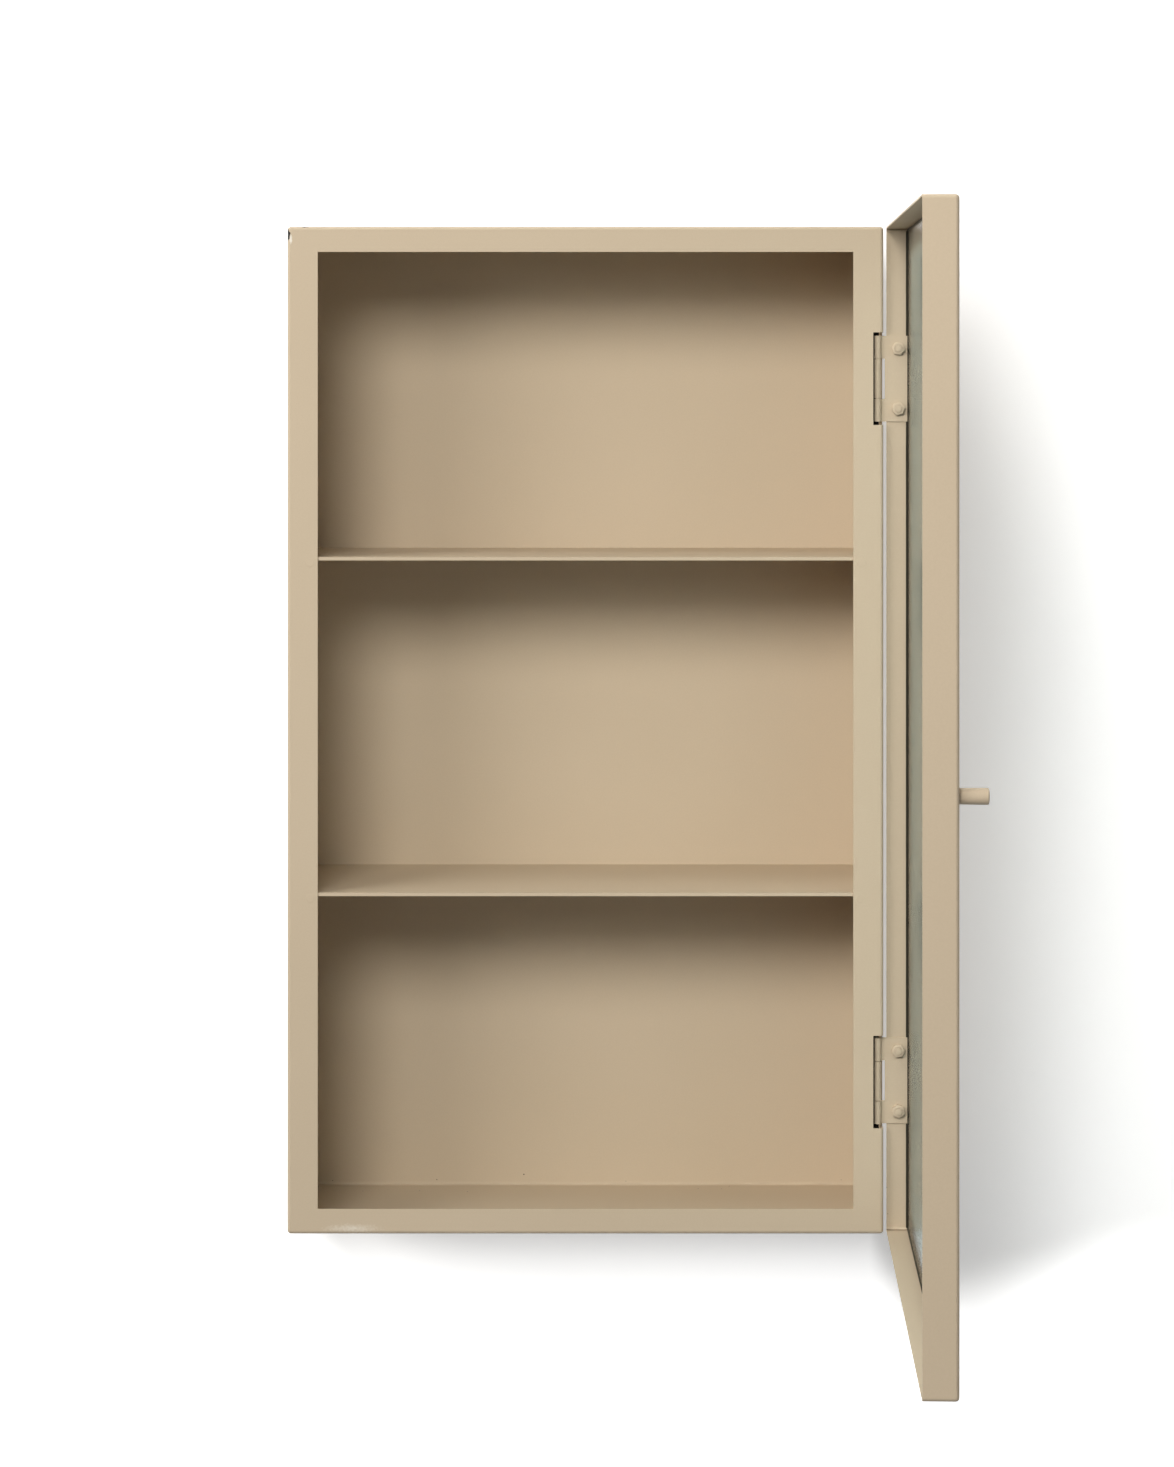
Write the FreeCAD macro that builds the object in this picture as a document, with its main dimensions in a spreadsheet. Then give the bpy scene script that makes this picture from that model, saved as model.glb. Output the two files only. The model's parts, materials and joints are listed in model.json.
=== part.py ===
"""Wall cabinet: a painted-steel case with two fixed shelves and a hinged door of reeded glass.

Frame: +X right, +Y into the wall, +Z up, millimetres. The origin lies on the wall, midway between the
two keyholes that the cabinet hangs on. Every piece of the door is drawn shut and then swung open.
"""
import FreeCAD
import Part
import Sketcher
import math
import os
import re

SIZES = {
    # case, folded from sheet with returns round the front opening
    "case_width": 355.0,
    "case_height": 600.0,
    "case_depth": 132.0,
    "sheet_thick": 1.0,
    "bend_radius": 2.0,
    "side_return": 18.0,
    "end_return": 15.0,
    "back_recess": 5.0,
    "seam_leg": 1.5,
    # shelves, a little above the thirds of the height, held by tabs that are plug-welded behind the returns
    "shelf_thick": 2.0,
    "shelf_rise": 3.2,
    "shelf_clearance": 0.2,
    "tab_height": 8.0,
    "tab_width": 15.0,
    "weld_radius": 2.6,
    "weld_proud": 0.15,
    "weld_clearance": 0.1,
    "weld_inset": 13.4,
    "weld_drop": 3.2,
    # butt hinges, in notches in the right front edge of the case
    "hinge_inset": 90.5,
    "hinge_height": 51.2,
    "middle_knuckle": 23.2,
    "knuckle_gap": 0.4,
    "knuckle_radius": 2.1,
    "knuckle_relief": 4.3,
    "pin_radius": 1.1,
    "pin_clearance": 0.05,
    "pin_setback": 4.7,
    "leaf_width": 17.7,
    "leaf_thick": 1.0,
    "notch_width": 6.1,
    "notch_depth": 9.5,
    "notch_height": 55.2,
    "stud_radius": 2.0,
    "stud_reach": 12.2,
    "stud_spacing": 36.0,
    "stud_clearance": 0.15,
    "stud_end": 0.8,
    "nut_flats": 7.0,
    "nut_height": 3.2,
    # door, a shallow tray of angle section with a pane bedded behind its window
    "door_depth": 18.5,
    "door_gap": 0.6,
    "open_angle": 88.0,
    "bed_thick": 0.7,
    "bed_setback": 2.0,
    "glass_thick": 4.0,
    "glass_clearance": 0.3,
    "reed_pitch": 12.0,
    "reed_depth": 0.8,
    "reed_land": 0.4,
    # knob, with a spigot through the handle stile
    "knob_inset": 9.0,
    "knob_length": 15.3,
    "knob_base_radius": 4.1,
    "knob_tip_radius": 4.3,
    "knob_edge": 1.0,
    "spigot_radius": 2.0,
    "spigot_clearance": 0.05,
    # magnet behind the left return
    "magnet_height": 20.0,
    "magnet_width": 10.0,
    "magnet_thick": 4.0,
    # keyhole hangers in the recess behind the back panel
    "hanger_inset": 52.5,
    "hanger_drop": 45.0,
    "hanger_width": 28.0,
    "hanger_foot": 8.0,
    "hanger_thick": 1.5,
    "hanger_below": 14.0,
    "hanger_above": 26.0,
    "keyhole_radius": 4.5,
    "keyhole_slot_radius": 2.25,
    "keyhole_rise": 12.0,
    # how far a cutting tool runs past what it cuts
    "overrun": 1.0,
}

# Places worked out from the sizes, as formulas that the features are bound to.
CASE_RIGHT = "(case_width / 2)"
CASE_TOP = "hanger_drop"
CASE_BOTTOM = "(hanger_drop - case_height)"
INNER_RIGHT = "(case_width / 2 - sheet_thick)"
BEND_FOOT = "(case_width / 2 - bend_radius)"
RETURN_BACK = "(sheet_thick - case_depth)"
BACK_FACE = "(-back_recess - sheet_thick)"
PIN_X = "(case_width / 2 - sheet_thick - knuckle_radius)"
PIN_Y = "(pin_setback - case_depth)"
RIM_DEPTH = "(case_depth + door_gap)"
DOOR_FRONT = "(case_depth + door_gap + door_depth)"
UPPER_HINGE = "(hanger_drop - hinge_inset)"
LOWER_HINGE = "(hanger_drop - case_height + hinge_inset)"
GLASS_EDGE = "(bend_radius + glass_clearance)"
UPPER_SHELF = "(hanger_drop - case_height / 3 + shelf_rise)"
LOWER_SHELF = "(hanger_drop - 2 * case_height / 3 + shelf_rise)"
KNOB_Z = "(hanger_drop - case_height / 2)"

doc = FreeCAD.newDocument("wall_cabinet")
sheet = doc.addObject("Spreadsheet::Sheet", "Sheet")
for row, (alias, size) in enumerate(SIZES.items(), start=1):
    sheet.set(f"A{row}", alias)
    sheet.set(f"B{row}", str(size))
    sheet.setAlias(f"B{row}", alias)
doc.recompute()

SIZE_WORD = re.compile(r"\b(?!sin\b|cos\b|sqrt\b|floor\b)[a-z][a-z_]*\b")


def bind(target, path, formula):
    """Bind one property to a formula in the sheet's words."""
    target.setExpression(path, SIZE_WORD.sub(r"Sheet.\g<0>", formula))


def place(target, x, y, z):
    bind(target, "Placement.Base.x", x)
    bind(target, "Placement.Base.y", y)
    bind(target, "Placement.Base.z", z)


def swing_open(target):
    """Turn a piece of the door about the hinge pins, from shut to the open angle."""
    target.Placement = FreeCAD.Placement(
        FreeCAD.Vector(), FreeCAD.Rotation(FreeCAD.Vector(0, 0, 1), SIZES["open_angle"])
    )
    bind(target, "Placement.Rotation.Angle", "open_angle")
    place(
        target,
        f"{PIN_X} * (1 - cos(open_angle)) + {PIN_Y} * sin(open_angle)",
        f"{PIN_Y} * (1 - cos(open_angle)) - {PIN_X} * sin(open_angle)",
        "0",
    )


# Part primitives and booleans


def box(name, corner, lengths):
    """A block from its least corner and its lengths along X, Y and Z."""
    block = doc.addObject("Part::Box", name)
    for path, formula in zip(("Length", "Width", "Height"), lengths):
        bind(block, path, formula)
    place(block, *corner)
    return block


def rod(name, kind, start, sizes, axis):
    """A cylinder, cone or prism that runs from its start point along an axis."""
    solid = doc.addObject(kind, name)
    for path, formula in sizes.items():
        bind(solid, path, formula)
    turn = FreeCAD.Rotation(FreeCAD.Vector(0, 0, 1), FreeCAD.Vector(*axis))
    solid.Placement = FreeCAD.Placement(FreeCAD.Vector(), turn)
    place(solid, *start)
    return solid


def boolean(name, kind, base, tool):
    result = doc.addObject(kind, name)
    result.Base = base
    result.Tool = tool
    return result


def join(name, pieces):
    result = doc.addObject("Part::MultiFuse", name)
    result.Shapes = pieces
    return result


def group(name, pieces):
    """Identical pieces that stay separate solids under one name."""
    result = doc.addObject("Part::Compound", name)
    result.Links = pieces
    return result


# PartDesign bodies


def new_body(name):
    return doc.addObject("PartDesign::Body", name)


def new_sketch(body, name, role, offset):
    """A sketch on one of the body's origin planes, moved along the plane's normal."""
    sketch = body.newObject("Sketcher::SketchObject", name)
    plane = next(f for f in body.Origin.OriginFeatures if f.Role == role)
    sketch.AttachmentSupport = [(plane, "")]
    sketch.MapMode = "FlatFace"
    bind(sketch, "AttachmentOffset.Base.z", offset)
    return sketch


def pin_point(sketch, line, x, y):
    """Hold the start of a line at two formulas from the sketch's origin."""
    start = sketch.getPoint(line, 1)
    for letter, formula, now in (("X", x, start.x), ("Y", y, start.y)):
        index = sketch.addConstraint(Sketcher.Constraint("Distance" + letter, -1, 1, line, 1, now))
        sketch.renameConstraint(index, f"{letter}{line}")
        bind(sketch, f"Constraints.{letter}{line}", formula)


def draw_ring(sketch, corners):
    """A closed ring of straight lines through corners given as formulas."""
    count = len(corners)
    first = sketch.GeometryCount
    turns = [2 * math.pi * i / count for i in range(count)]
    spots = [FreeCAD.Vector(math.cos(turn), math.sin(turn), 0) for turn in turns]
    for i in range(count):
        sketch.addGeometry(Part.LineSegment(spots[i], spots[(i + 1) % count]))
    for i in range(count):
        following = first + (i + 1) % count
        sketch.addConstraint(Sketcher.Constraint("Coincident", first + i, 2, following, 1))
    for i, (x, y) in enumerate(corners):
        pin_point(sketch, first + i, x, y)


def draw_rectangle(sketch, left, right, low, high):
    draw_ring(sketch, [(left, low), (right, low), (right, high), (left, high)])


def draw_circle(sketch, x, y, radius):
    normal = FreeCAD.Vector(0, 0, 1)
    curve = sketch.addGeometry(Part.Circle(FreeCAD.Vector(), normal, 1))
    index = sketch.addConstraint(Sketcher.Constraint("Radius", curve, 1))
    sketch.renameConstraint(index, f"R{curve}")
    bind(sketch, f"Constraints.R{curve}", radius)
    for letter, formula in (("X", x), ("Y", y)):
        index = sketch.addConstraint(Sketcher.Constraint("Distance" + letter, -1, 1, curve, 3, 0))
        sketch.renameConstraint(index, f"{letter}{curve}")
        bind(sketch, f"Constraints.{letter}{curve}", formula)


def pad(body, name, sketch, length, backwards=False, symmetric=False):
    feature = body.newObject("PartDesign::Pad", name)
    feature.Profile = sketch
    bind(feature, "Length", length)
    feature.Reversed = backwards
    if symmetric:
        feature.SideType = "Symmetric"
    doc.recompute()
    return feature


def pocket(body, name, sketch, length, backwards=False):
    """A pocket that must take material away."""
    volume_before = body.Shape.Volume
    feature = body.newObject("PartDesign::Pocket", name)
    feature.Profile = sketch
    bind(feature, "Length", length)
    feature.Reversed = backwards
    doc.recompute()
    if not body.Shape.Volume < volume_before:
        raise RuntimeError(f"{name} cuts nothing")
    return feature


def round_edges(body, name, base, radius, wanted):
    """A fillet on the edges of the base feature that the test accepts."""
    names = [f"Edge{i}" for i, edge in enumerate(base.Shape.Edges, start=1) if wanted(edge)]
    feature = body.newObject("PartDesign::Fillet", name)
    feature.Base = (base, names)
    bind(feature, "Radius", radius)
    doc.recompute()
    return feature


def folded_tray(name, back_offset, depth):
    """A tray of sheet, open at the back, with its edges and corners bent to a radius."""
    body = new_body(name)
    sketch = new_sketch(body, f"{name}_outline", "XZ_Plane", back_offset)
    draw_rectangle(sketch, f"-{CASE_RIGHT}", CASE_RIGHT, CASE_BOTTOM, CASE_TOP)
    block = pad(body, f"{name}_block", sketch, depth)
    limits = block.Shape.BoundBox
    bends = round_edges(
        body, f"{name}_bends", block, "bend_radius", lambda edge: edge.BoundBox.YMin < limits.Center.y
    )
    cavity = new_sketch(body, f"{name}_cavity", "XZ_Plane", back_offset)
    draw_rectangle(
        cavity, f"-{INNER_RIGHT}", INNER_RIGHT, f"{CASE_BOTTOM} + sheet_thick", f"{CASE_TOP} - sheet_thick"
    )
    hollow = pocket(body, f"{name}_hollow", cavity, f"{depth} - sheet_thick", backwards=True)
    inset = SIZES["sheet_thick"] / 2
    inner = FreeCAD.BoundBox(limits)
    inner.enlarge(-inset)
    round_edges(
        body,
        f"{name}_inner_bends",
        hollow,
        "bend_radius - sheet_thick",
        lambda edge: edge.BoundBox.YMin < limits.Center.y
        and all(is_inside_section(vertex.Point, inner) for vertex in edge.Vertexes),
    )
    window = new_sketch(body, f"{name}_window", "XZ_Plane", f"{back_offset} + {depth}")
    draw_rectangle(
        window,
        f"side_return - {CASE_RIGHT}",
        f"{CASE_RIGHT} - side_return",
        f"{CASE_BOTTOM} + end_return",
        f"{CASE_TOP} - end_return",
    )
    pocket(body, f"{name}_opening", window, "sheet_thick + overrun")
    return body


def is_inside_section(point, limits):
    """Behind the front of a box, and between its sides and its ends."""
    across = limits.XMin < point.x < limits.XMax and limits.ZMin < point.z < limits.ZMax
    return across and limits.YMin < point.y


# Wedges that part a folded tray into four members at its mitred corners


def mitre_wedge(name, corners):
    body = new_body(name)
    sketch = new_sketch(body, f"{name}_outline", "XZ_Plane", "0")
    draw_ring(sketch, corners)
    pad(body, f"{name}_prism", sketch, f"2 * ({DOOR_FRONT} + overrun)", symmetric=True)
    return body


def side_wedge(name, sign):
    outer = f"{sign}({CASE_RIGHT} + overrun)"
    kink = f"{sign}({CASE_RIGHT} - end_return)"
    inner = f"{sign}({CASE_RIGHT} - side_return - overrun)"
    low, high = f"{CASE_BOTTOM} + end_return", f"{CASE_TOP} - end_return"
    corners = [
        (outer, f"{CASE_BOTTOM} - overrun"),
        (kink, low),
        (inner, low),
        (inner, high),
        (kink, high),
        (outer, f"{CASE_TOP} + overrun"),
    ]
    return mitre_wedge(name, corners)


def end_wedge(name, edge, sign):
    outer, kink = f"({CASE_RIGHT} + overrun)", f"({CASE_RIGHT} - end_return)"
    far, near = f"{edge} {sign} overrun", f"{edge} - ({sign}end_return)"
    corners = [(f"-{outer}", far), (f"-{kink}", near), (kink, near), (outer, far)]
    return mitre_wedge(name, corners)


LEFT_WEDGE = side_wedge("left_wedge", "-")
RIGHT_WEDGE = side_wedge("right_wedge", "+")
TOP_WEDGE = end_wedge("top_wedge", CASE_TOP, "+")
BOTTOM_WEDGE = end_wedge("bottom_wedge", CASE_BOTTOM, "-")


def case_panels():
    """The four folded panels of the case, with the hinge notches and the plug-weld holes."""
    form = folded_tray("case_form", "0", "case_depth")
    notches = new_sketch(form, "hinge_notches", "XZ_Plane", "case_depth")
    for centre in (UPPER_HINGE, LOWER_HINGE):
        draw_rectangle(
            notches,
            f"{CASE_RIGHT} - notch_width",
            f"{CASE_RIGHT} + overrun",
            f"{centre} - notch_height / 2",
            f"{centre} + notch_height / 2",
        )
    pocket(form, "hinge_notch_cut", notches, "notch_depth")
    holes = new_sketch(form, "weld_holes", "XZ_Plane", "case_depth")
    for top in (UPPER_SHELF, LOWER_SHELF):
        for sign in ("-", "+"):
            draw_circle(
                holes,
                f"{sign}({CASE_RIGHT} - weld_inset)",
                f"{top} - weld_drop",
                "weld_radius + weld_clearance",
            )
    pocket(form, "weld_hole_cut", holes, "sheet_thick + overrun")
    return [
        boolean("left_side_panel", "Part::Common", form, LEFT_WEDGE),
        boolean("right_side_panel", "Part::Common", form, RIGHT_WEDGE),
        boolean("top_panel", "Part::Common", form, TOP_WEDGE),
        boolean("bottom_panel", "Part::Common", form, BOTTOM_WEDGE),
    ]


def back_panel():
    """A flat sheet between the four panels, set in from the wall, its corners cut to clear the bends."""
    body = new_body("back_panel")
    outline = new_sketch(body, "back_outline", "XZ_Plane", "back_recess")
    draw_rectangle(
        outline, f"-{INNER_RIGHT}", INNER_RIGHT, f"{CASE_BOTTOM} + sheet_thick", f"{CASE_TOP} - sheet_thick"
    )
    blank = pad(body, "back_blank", outline, "sheet_thick")
    middle = blank.Shape.BoundBox.Center.y
    round_edges(
        body,
        "back_corners",
        blank,
        "bend_radius",
        lambda edge: edge.BoundBox.YMin < middle < edge.BoundBox.YMax,
    )
    return body


def back_seams():
    """Welded and filled corner beads along the top and bottom edges of the back panel."""
    body = new_body("back_seams")
    sketch = new_sketch(body, "seam_section", "YZ_Plane", "0")
    front = f"{BACK_FACE} - seam_leg"
    low, high = f"{CASE_BOTTOM} + sheet_thick", f"{CASE_TOP} - sheet_thick"
    draw_ring(sketch, [(BACK_FACE, low), (BACK_FACE, f"{low} + seam_leg"), (front, low)])
    draw_ring(sketch, [(BACK_FACE, high), (BACK_FACE, f"{high} - seam_leg"), (front, high)])
    pad(body, "seam_run", sketch, f"2 * {BEND_FOOT}", symmetric=True)
    return body


def shelf(name, top):
    """A plate between the side panels, with a tab turned down behind each side return."""
    end = f"({BEND_FOOT} - shelf_clearance)"
    plate = box(
        f"{name}_plate",
        (f"-{end}", RETURN_BACK, f"{top} - shelf_thick"),
        (f"2 * {end}", f"{BACK_FACE} - {RETURN_BACK}", "shelf_thick"),
    )
    tab_lengths = ("tab_width", "shelf_thick", "tab_height")
    tabs = [
        box(f"{name}_left_tab", (f"-{end}", RETURN_BACK, f"{top} - tab_height"), tab_lengths),
        box(f"{name}_right_tab", (f"{end} - tab_width", RETURN_BACK, f"{top} - tab_height"), tab_lengths),
    ]
    return join(name, [plate] + tabs)


def shelf_welds():
    """Four plug welds that fill the holes in the side returns and sit on the shelf tabs."""
    plugs = []
    for shelf_name, top in (("upper", UPPER_SHELF), ("lower", LOWER_SHELF)):
        for side, sign in (("left", "-"), ("right", "+")):
            start = (f"{sign}({CASE_RIGHT} - weld_inset)", RETURN_BACK, f"{top} - weld_drop")
            sizes = {"Radius": "weld_radius", "Height": "sheet_thick + weld_proud"}
            plugs.append(rod(f"{shelf_name}_{side}_plug", "Part::Cylinder", start, sizes, (0, -1, 0)))
    return group("shelf_plug_welds", plugs)


def wall_hanger(name, sign):
    """A hat-shaped strap behind the back panel, its crown on the wall plane, with a keyhole."""
    body = new_body(name)
    centre = f"({sign}({CASE_RIGHT} - hanger_inset))"
    profile = new_sketch(body, f"{name}_section", "XY_Plane", "-hanger_below")
    crown, foot = "hanger_width / 2", "(hanger_width / 2 + hanger_foot)"
    seat, rise = "-back_recess", "hanger_thick - back_recess"
    right_half = [
        (f"{crown} - hanger_thick", "-hanger_thick"),
        (f"{crown} - hanger_thick", seat),
        (foot, seat),
        (foot, rise),
        (crown, rise),
        (crown, "0"),
    ]
    corners = [(f"{centre} + {x}", y) for x, y in right_half]
    corners += [(f"{centre} - ({x})", y) for x, y in reversed(right_half)]
    draw_ring(profile, corners)
    pad(body, f"{name}_strap", profile, "hanger_below + hanger_above")
    entry = new_sketch(body, f"{name}_entry", "XZ_Plane", "0")
    draw_circle(entry, centre, "0", "keyhole_radius")
    pocket(body, f"{name}_entry_hole", entry, "hanger_thick + overrun", backwards=True)
    slot = new_sketch(body, f"{name}_slot", "XZ_Plane", "0")
    draw_rectangle(
        slot,
        f"{centre} - keyhole_slot_radius",
        f"{centre} + keyhole_slot_radius",
        "0",
        "keyhole_rise",
    )
    pocket(body, f"{name}_slot_cut", slot, "hanger_thick + overrun", backwards=True)
    seat_end = new_sketch(body, f"{name}_slot_end", "XZ_Plane", "0")
    draw_circle(seat_end, centre, "keyhole_rise", "keyhole_slot_radius")
    pocket(body, f"{name}_slot_end_cut", seat_end, "hanger_thick + overrun", backwards=True)
    return body


def hinge_leaf(name, centre, away, knuckles, bore):
    """A flat leaf on the inner face of the sheet, rolled into knuckles about the pin."""
    body = new_body(name)
    half = "hinge_height / 2"
    near, far = f"{PIN_Y} {away} knuckle_relief", f"{PIN_Y} {away} leaf_width"
    outline = new_sketch(body, f"{name}_outline", "YZ_Plane", INNER_RIGHT)
    draw_rectangle(outline, near, far, f"{centre} - {half}", f"{centre} + {half}")
    pad(body, f"{name}_plate", outline, "leaf_thick", backwards=True)
    necks = new_sketch(body, f"{name}_necks", "YZ_Plane", INNER_RIGHT)
    for low, high in knuckles:
        draw_rectangle(necks, near, PIN_Y, f"{centre} + {low}", f"{centre} + {high}")
    pad(body, f"{name}_neck_plates", necks, "leaf_thick", backwards=True)
    for number, (low, high) in enumerate(knuckles, start=1):
        barrel = new_sketch(body, f"{name}_barrel_{number}", "XY_Plane", f"{centre} + {low}")
        draw_circle(barrel, PIN_X, PIN_Y, "knuckle_radius")
        pad(body, f"{name}_knuckle_{number}", barrel, f"({high}) - ({low})")
    hole = new_sketch(body, f"{name}_bore", "XY_Plane", f"{centre} + {half} + overrun")
    draw_circle(hole, PIN_X, PIN_Y, bore)
    pocket(body, f"{name}_bore_cut", hole, "hinge_height + 2 * overrun")
    studs = new_sketch(body, f"{name}_stud_holes", "YZ_Plane", f"{INNER_RIGHT} + overrun")
    for sign in ("-", "+"):
        draw_circle(
            studs,
            f"{PIN_Y} {away} stud_reach",
            f"{centre} {sign} stud_spacing / 2",
            "stud_radius + stud_clearance",
        )
    pocket(body, f"{name}_stud_cut", studs, "leaf_thick + 2 * overrun")
    return body


def hinge(end, centre):
    """One butt hinge: a case leaf, a door leaf and the pin, which the case knuckle grips."""
    middle = [("-middle_knuckle / 2", "middle_knuckle / 2")]
    outer = [
        ("-hinge_height / 2", "-(middle_knuckle / 2 + knuckle_gap)"),
        ("middle_knuckle / 2 + knuckle_gap", "hinge_height / 2"),
    ]
    pin_sizes = {"Radius": "pin_radius", "Height": "hinge_height"}
    pin_start = (PIN_X, PIN_Y, f"{centre} - hinge_height / 2")
    case_leaf = hinge_leaf(f"{end}_hinge_case_leaf", centre, "+", middle, "pin_radius")
    door_leaf = hinge_leaf(f"{end}_hinge_door_leaf", centre, "-", outer, "pin_radius + pin_clearance")
    swing_open(door_leaf)
    pin = rod(f"{end}_hinge_pin", "Part::Cylinder", pin_start, pin_sizes, (0, 0, 1))
    return [case_leaf, door_leaf, pin]


def hinge_nut(name, start):
    """A hex nut with its outer corners chamfered, bored for its stud."""
    hex_sizes = {"Circumradius": "nut_flats / sqrt(3)", "Height": "nut_height"}
    blank = rod(f"{name}_hex", "Part::Prism", start, hex_sizes, (-1, 0, 0))
    blank.Polygon = 6
    cone_sizes = {
        "Radius1": "nut_flats / 2 + nut_height * sqrt(3)",
        "Radius2": "nut_flats / 2",
        "Height": "nut_height",
    }
    cone = rod(f"{name}_chamfer", "Part::Cone", start, cone_sizes, (-1, 0, 0))
    bore_sizes = {"Radius": "stud_radius + stud_clearance", "Height": "nut_height"}
    bore = rod(f"{name}_bore", "Part::Cylinder", start, bore_sizes, (-1, 0, 0))
    rounded = boolean(f"{name}_blank", "Part::Common", blank, cone)
    return boolean(name, "Part::Cut", rounded, bore)


def hinge_fasteners(owner, away):
    """Weld studs on the inner face of the sheet, and the nuts that clamp the leaves on them."""
    studs, nuts = [], []
    for end, centre in (("upper", UPPER_HINGE), ("lower", LOWER_HINGE)):
        for spot, sign in (("low", "-"), ("high", "+")):
            y, z = f"{PIN_Y} {away} stud_reach", f"{centre} {sign} stud_spacing / 2"
            name = f"{owner}_{end}_{spot}"
            sizes = {"Radius": "stud_radius", "Height": "leaf_thick + nut_height + stud_end"}
            studs.append(rod(f"{name}_stud", "Part::Cylinder", (INNER_RIGHT, y, z), sizes, (-1, 0, 0)))
            nuts.append(hinge_nut(f"{name}_nut", (f"{INNER_RIGHT} - leaf_thick", y, z)))
    return group(f"{owner}_hinge_studs", studs), group(f"{owner}_hinge_nuts", nuts)


def door_frame():
    """The stiles and rails of the door, parted at mitred corners, with the hole for the knob."""
    form = folded_tray("door_form", RIM_DEPTH, "door_depth")
    hole = new_sketch(form, "knob_hole", "XZ_Plane", DOOR_FRONT)
    draw_circle(hole, f"knob_inset - {CASE_RIGHT}", KNOB_Z, "spigot_radius + spigot_clearance")
    pocket(form, "knob_hole_cut", hole, "sheet_thick + overrun")
    return [
        boolean("door_handle_stile", "Part::Common", form, LEFT_WEDGE),
        boolean("door_hinge_stile", "Part::Common", form, RIGHT_WEDGE),
        boolean("door_top_rail", "Part::Common", form, TOP_WEDGE),
        boolean("door_bottom_rail", "Part::Common", form, BOTTOM_WEDGE),
    ]


def glass_bedding():
    """A thin frame of silicone between the pane and the front of the door frame, hidden from outside."""
    edge = f"({CASE_RIGHT} - {GLASS_EDGE})"
    start = f"sheet_thick - {DOOR_FRONT}"
    slab = box(
        "bedding_slab",
        (f"-{edge}", start, f"{CASE_BOTTOM} + {GLASS_EDGE}"),
        (f"2 * {edge}", "bed_thick", f"case_height - 2 * {GLASS_EDGE}"),
    )
    side, end = "(side_return - bed_setback)", "(end_return - bed_setback)"
    window = box(
        "bedding_window",
        (f"{side} - {CASE_RIGHT}", f"{start} - overrun", f"{CASE_BOTTOM} + {end}"),
        (f"case_width - 2 * {side}", "bed_thick + 2 * overrun", f"case_height - 2 * {end}"),
    )
    return boolean("glass_bedding", "Part::Cut", slab, window)


def glass_pane():
    """The pane, flat outside, with upright reeds on the inner face."""
    body = new_body("glass_pane")
    low = f"{CASE_BOTTOM} + {GLASS_EDGE}"
    height = f"case_height - 2 * {GLASS_EDGE}"
    front = f"(sheet_thick + bed_thick - {DOOR_FRONT})"
    back = f"({front} + glass_thick - reed_depth)"
    edge = f"({CASE_RIGHT} - {GLASS_EDGE})"
    plate = new_sketch(body, "pane_section", "XY_Plane", low)
    draw_rectangle(plate, f"-{edge}", edge, front, back)
    pad(body, "pane_plate", plate, height)
    reeds = f"floor(2 * {edge} / reed_pitch)"
    rib = new_sketch(body, "reed_section", "XY_Plane", low)
    bind(rib, "AttachmentOffset.Base.x", f"-({reeds} - 1) * reed_pitch / 2")
    bind(rib, "AttachmentOffset.Base.y", back)
    draw_reed(rib)
    one = pad(body, "one_reed", rib, height)
    row = body.newObject("PartDesign::LinearPattern", "reed_row")
    row.Originals = [one]
    row.Direction = (rib, ["H_Axis"])
    bind(row, "Length", f"({reeds} - 1) * reed_pitch")
    bind(row, "Occurrences", reeds)
    body.Tip = row
    doc.recompute()
    return body


def draw_reed(sketch):
    """A shallow arc over its chord, centred on the sketch's origin."""
    half = "(reed_pitch - reed_land) / 2"
    centre = FreeCAD.Vector(0, -1, 0)
    circle = Part.Circle(centre, FreeCAD.Vector(0, 0, 1), math.sqrt(2))
    left, right = FreeCAD.Vector(-1, 0, 0), FreeCAD.Vector(1, 0, 0)
    chord = sketch.addGeometry(Part.LineSegment(left, right))
    arc = sketch.addGeometry(Part.ArcOfCircle(circle, math.pi / 4, 3 * math.pi / 4))
    sketch.addConstraint(Sketcher.Constraint("Coincident", chord, 2, arc, 1))
    sketch.addConstraint(Sketcher.Constraint("Coincident", chord, 1, arc, 2))
    pin_point(sketch, chord, f"-{half}", "0")
    sketch.addConstraint(Sketcher.Constraint("Symmetric", chord, 1, chord, 2, -1, 1))
    index = sketch.addConstraint(Sketcher.Constraint("Radius", arc, circle.Radius))
    sketch.renameConstraint(index, "bow")
    bind(sketch, "Constraints.bow", f"(({half}) ^ 2 + reed_depth ^ 2) / (2 * reed_depth)")


def knob():
    """A turned pull that flares a little to its tip, on a spigot through the handle stile."""
    body = new_body("knob")
    x, tip = f"(knob_inset - {CASE_RIGHT})", f"(-{DOOR_FRONT} - knob_length)"
    half = new_sketch(body, "knob_half", "XY_Plane", KNOB_Z)
    draw_ring(
        half,
        [
            (x, f"sheet_thick - {DOOR_FRONT}"),
            (x, tip),
            (f"{x} + knob_tip_radius", tip),
            (f"{x} + knob_base_radius", f"-{DOOR_FRONT}"),
            (f"{x} + spigot_radius", f"-{DOOR_FRONT}"),
            (f"{x} + spigot_radius", f"sheet_thick - {DOOR_FRONT}"),
        ],
    )
    turned = body.newObject("PartDesign::Revolution", "knob_turned")
    turned.Profile = half
    turned.ReferenceAxis = (half, ["Edge1"])
    turned.Angle = 360
    doc.recompute()
    foremost = min(edge.BoundBox.YMax for edge in turned.Shape.Edges)
    round_edges(body, "knob_tip", turned, "knob_edge", lambda edge: edge.BoundBox.YMax == foremost)
    return body


def catch_magnet():
    """A block magnet bonded behind the left return, level with the knob."""
    return box(
        "catch_magnet",
        (f"-{CASE_RIGHT} + (side_return - magnet_width) / 2", RETURN_BACK, f"{KNOB_Z} - magnet_height / 2"),
        ("magnet_width", "magnet_thick", "magnet_height"),
    )


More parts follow.
